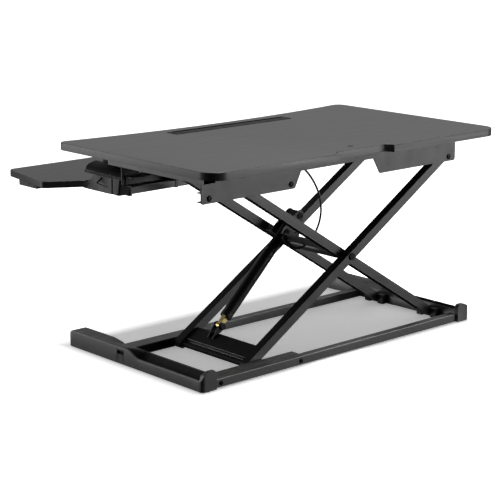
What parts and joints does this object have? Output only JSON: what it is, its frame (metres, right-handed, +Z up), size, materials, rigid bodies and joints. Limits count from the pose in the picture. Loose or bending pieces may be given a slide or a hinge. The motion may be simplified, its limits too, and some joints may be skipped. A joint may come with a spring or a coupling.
{
  "type": "standing desk converter",
  "caption": "Two-level desk riser with an X-shaped lift, a locking gas spring, a keyboard tray and release handles under the desktop.",
  "frame": {"origin": "bottom centre of the whole object's box, on the surface it stands on", "axes": "+X towards the user's right hand, +Y away from the user to the back of the desk, +Z up"},
  "size_m": [0.896, 0.808, 0.489],
  "materials": {
    "desktop_laminate": "satin laminate on board",
    "black_plastic": "fine grain",
    "end_piece_plastic": "fine grain",
    "frame_coating": "powder coat",
    "bolt_steel": "zinc plated",
    "chrome_rod": "polished",
    "brass_fitting": "yellow zinc",
    "head_casting": "cast",
    "foot_rubber": "matte",
    "cable_sheath": "smooth black sheath",
    "roller_nylon": "moulded"
  },
  "bodies": {
    "base": {"base_rail_back": "frame_coating", "base_rail_front": "frame_coating", "base_tracks": "frame_coating", "base_rail_bolts": "bolt_steel", "base_end_right": "end_piece_plastic", "base_end_left": "end_piece_plastic", "base_corner_caps": "black_plastic", "base_feet": "foot_rubber", "base_hinges": "frame_coating", "base_hinge_pins": "bolt_steel"},
    "arms_inner": {"inner_arm_back": "frame_coating", "inner_arm_front": "frame_coating", "inner_arm_plugs": "black_plastic", "centre_cross_tube": "frame_coating", "spring_bridge": "frame_coating", "spring_bridge_pins": "bolt_steel", "top_roller_axle": "bolt_steel"},
    "arms_outer": {"outer_arm_back": "frame_coating", "outer_arm_front": "frame_coating", "outer_arm_plugs": "black_plastic", "centre_pivot_bolts": "bolt_steel", "outer_cross_plate": "frame_coating", "spring_clevis": "frame_coating", "spring_clevis_pin": "bolt_steel", "base_roller_axle": "bolt_steel"},
    "platform": {"desktop": "desktop_laminate", "device_slot": "black_plastic", "clamp_hole_bush": "black_plastic", "top_plate_back": "frame_coating", "top_plate_front": "frame_coating", "top_tracks": "frame_coating", "top_plate_bolts": "bolt_steel", "top_pivot_bolts": "bolt_steel", "end_channel_right": "frame_coating", "end_channel_left": "frame_coating", "keyboard_tray": "desktop_laminate", "tray_stiffener": "black_plastic", "tray_hanger_right": "frame_coating", "tray_hanger_left": "frame_coating", "handle_bracket_right": "black_plastic", "handle_bracket_left": "black_plastic", "tray_crossbar": "frame_coating", "crossbar_bands": "black_plastic", "release_rod_blocks": "frame_coating", "cable_stop": "frame_coating", "release_cable": "cable_sheath"},
    "gas_cylinder": {"spring_cylinder": "frame_coating", "spring_lower_eye": "brass_fitting"},
    "gas_sleeve": {"spring_sleeve": "black_plastic"},
    "gas_rod": {"spring_rod": "chrome_rod", "spring_head": "head_casting"},
    "release_bar": {"release_rod": "frame_coating", "release_paddle_right": "black_plastic", "release_paddle_left": "black_plastic"},
    "release_lever": {"release_lever": "black_plastic"},
    "base_roller_back": {"base_roller_back": "roller_nylon"},
    "base_roller_front": {"base_roller_front": "roller_nylon"},
    "top_roller_back": {"top_roller_back": "roller_nylon"},
    "top_roller_front": {"top_roller_front": "roller_nylon"}
  },
  "joints": [
    {"name": "lift", "type": "hinge", "parent": "base", "child": "arms_inner", "pos_m": [-0.404, 0.149, 0.012], "axis": [0, 1, 0], "range_deg": [0, 27.52], "deforming": ["release_cable"]},
    {"name": "scissor", "type": "hinge", "parent": "arms_inner", "child": "arms_outer", "pos_m": [-0.08683, 0.149, 0.21019], "axis": [0, 1, 0], "range_deg": [-55.06, 0]},
    {"name": "platform_level", "type": "hinge", "parent": "arms_outer", "child": "platform", "pos_m": [-0.404, 0.149, 0.40838], "axis": [0, 1, 0], "range_deg": [0, 27.54]},
    {"name": "spring_foot_pivot", "type": "hinge", "parent": "arms_outer", "child": "gas_cylinder", "pos_m": [0.17675, 0.111, 0.06023], "axis": [0, 1, 0], "range_deg": [0, 0.6]},
    {"name": "spring_head_pivot", "type": "hinge", "parent": "arms_inner", "child": "gas_rod", "pos_m": [-0.05958, 0.111, 0.28736], "axis": [0, 1, 0], "range_deg": [-54.7, 0]},
    {"name": "spring_stroke", "type": "slide", "parent": "gas_cylinder", "child": "gas_sleeve", "axis": [0.721, 0, -0.6929], "range_m": [0, 0.0765]},
    {"name": "release_handles", "type": "hinge", "parent": "platform", "child": "release_bar", "pos_m": [0.002, -0.007, 0.437], "axis": [-1, 0, 0], "range_deg": [0, 12], "stiffness_Nm_per_rad": 6, "springref_deg": -6.88},
    {"name": "release_lever_turn", "type": "hinge", "parent": "arms_inner", "child": "release_lever", "pos_m": [-0.01835, 0.131, 0.25534], "axis": [0, 1, 0], "range_deg": [-14, 0]},
    {"name": "base_roller_back_spin", "type": "hinge", "parent": "arms_outer", "child": "base_roller_back", "pos_m": [0.23034, 0.289, 0.012], "axis": [0, 1, 0], "continuous": true},
    {"name": "base_roller_front_spin", "type": "hinge", "parent": "arms_outer", "child": "base_roller_front", "pos_m": [0.23034, 0.009, 0.012], "axis": [0, 1, 0], "continuous": true},
    {"name": "top_roller_back_spin", "type": "hinge", "parent": "arms_inner", "child": "top_roller_back", "pos_m": [0.23034, 0.2715, 0.40838], "axis": [0, 1, 0], "continuous": true},
    {"name": "top_roller_front_spin", "type": "hinge", "parent": "arms_inner", "child": "top_roller_front", "pos_m": [0.23034, 0.0265, 0.40838], "axis": [0, 1, 0], "continuous": true}
  ],
  "couplings": [
    {"joint": "scissor", "follows": "lift", "ratio": -2},
    {"joint": "platform_level", "follows": "lift", "ratio": 1},
    {"joint": "spring_foot_pivot", "follows": "lift", "ratio": 0.017},
    {"joint": "spring_head_pivot", "follows": "lift", "ratio": -1.983},
    {"joint": "spring_stroke", "follows": "lift", "m_per_rad": 0.1587},
    {"joint": "release_lever_turn", "follows": "release_handles", "ratio": -1.1}
  ]
}
